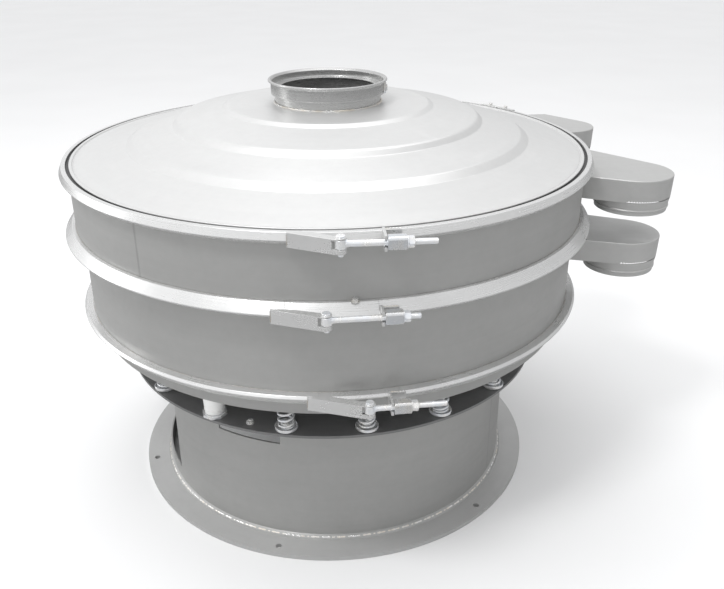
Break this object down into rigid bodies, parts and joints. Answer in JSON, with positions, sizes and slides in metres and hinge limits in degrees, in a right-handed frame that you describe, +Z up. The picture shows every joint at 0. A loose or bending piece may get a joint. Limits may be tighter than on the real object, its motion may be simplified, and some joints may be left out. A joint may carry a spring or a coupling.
{
  "type": "vibrating sieve",
  "caption": "Round rotary vibrating sieve: clamped frames and domed inlet lid on coil springs over a drum base, with side discharge spouts and a vertical vibrating motor inside.",
  "frame": {"origin": "centre of the floor flange at floor level, on the machine's vertical axis", "axes": "+Z up along the machine axis, -Y towards the latches of the clamp rings, +X towards the discharge spouts"},
  "size_m": [1.3939, 1.2437, 0.951],
  "materials": {
    "stainless": "satin stainless",
    "plate_steel": "dark grey",
    "ring_steel": "bright satin",
    "bright_zinc": "bright plated",
    "spring_wire": "bright plated",
    "white_nylon": "matte",
    "brown_rubber": "matte",
    "silicone": "matte",
    "ball_rubber": "matte",
    "mesh_wire": "woven",
    "motor_paint": "painted",
    "core_steel": "machined"
  },
  "bodies": {
    "base": {"base_flange": "stainless", "base_cylinder": "stainless", "spring_plate": "plate_steel", "lower_spring_seats": "bright_zinc", "spring_bolts": "bright_zinc", "coil_springs": "spring_wire", "post_bases": "bright_zinc", "buffer_sleeves": "white_nylon", "earth_stud": "bright_zinc"},
    "sieve": {"vibrating_table": "stainless", "table_ribs": "plate_steel", "upper_spring_seats": "bright_zinc", "table_bolts": "bright_zinc", "rubber_buffers": "brown_rubber", "motor_housing": "motor_paint", "motor_end_shields": "motor_paint", "motor_bearings": "core_steel", "stator": "core_steel", "motor_bolts": "bright_zinc", "terminal_box": "motor_paint", "cable_gland": "bright_zinc", "lower_frame": "stainless", "discharge_pan": "stainless", "fines_spout": "stainless", "spout_outlets": "stainless", "upper_frame": "stainless", "overs_spout": "stainless", "rear_spout": "stainless", "table_gasket": "silicone", "screen_gaskets": "silicone", "lid_gasket": "silicone", "screen_hoop": "stainless", "screen_mesh": "mesh_wire", "ball_tray": "stainless", "rubber_balls": "ball_rubber", "lid": "stainless", "inlet_neck": "stainless", "inlet_collar": "stainless", "inlet_clip": "stainless", "top_clamp_left": "ring_steel", "top_clamp_right": "ring_steel", "middle_clamp_left": "ring_steel", "middle_clamp_right": "ring_steel", "bottom_clamp_left": "ring_steel", "bottom_clamp_right": "ring_steel", "splice_plates": "ring_steel", "latch_pins": "bright_zinc", "rear_links": "ring_steel", "ring_screws": "bright_zinc"},
    "rotor": {"rotor_shaft": "core_steel", "upper_weight": "core_steel", "lower_weight": "core_steel", "weight_screws": "bright_zinc"},
    "top_latch": {"top_swing_bolt": "bright_zinc", "top_latch_block": "bright_zinc"},
    "middle_latch": {"middle_swing_bolt": "bright_zinc", "middle_latch_block": "bright_zinc"},
    "bottom_latch": {"bottom_swing_bolt": "bright_zinc", "bottom_latch_block": "bright_zinc"}
  },
  "joints": [
    {"name": "bounce", "type": "slide", "parent": "base", "child": "sieve", "axis": [0, 0, 1], "range_m": [-0.004, 0.004], "stiffness_N_per_m": 300000, "springref_m": 0.0083, "deforming": ["coil_springs"]},
    {"name": "motor_spin", "type": "hinge", "parent": "sieve", "child": "rotor", "pos_m": [0, 0, 0.35], "axis": [0, 0, 1], "continuous": true},
    {"name": "top_latch_swing", "type": "hinge", "parent": "sieve", "child": "top_latch", "pos_m": [0.0155, -0.627, 0.794], "axis": [0, 0, -1], "range_deg": [0, 110]},
    {"name": "middle_latch_swing", "type": "hinge", "parent": "sieve", "child": "middle_latch", "pos_m": [-0.011, -0.6245, 0.653], "axis": [0, 0, -1], "range_deg": [0, 110]},
    {"name": "bottom_latch_swing", "type": "hinge", "parent": "sieve", "child": "bottom_latch", "pos_m": [0.064, -0.617, 0.468], "axis": [0, 0, -1], "range_deg": [0, 110]}
  ]
}
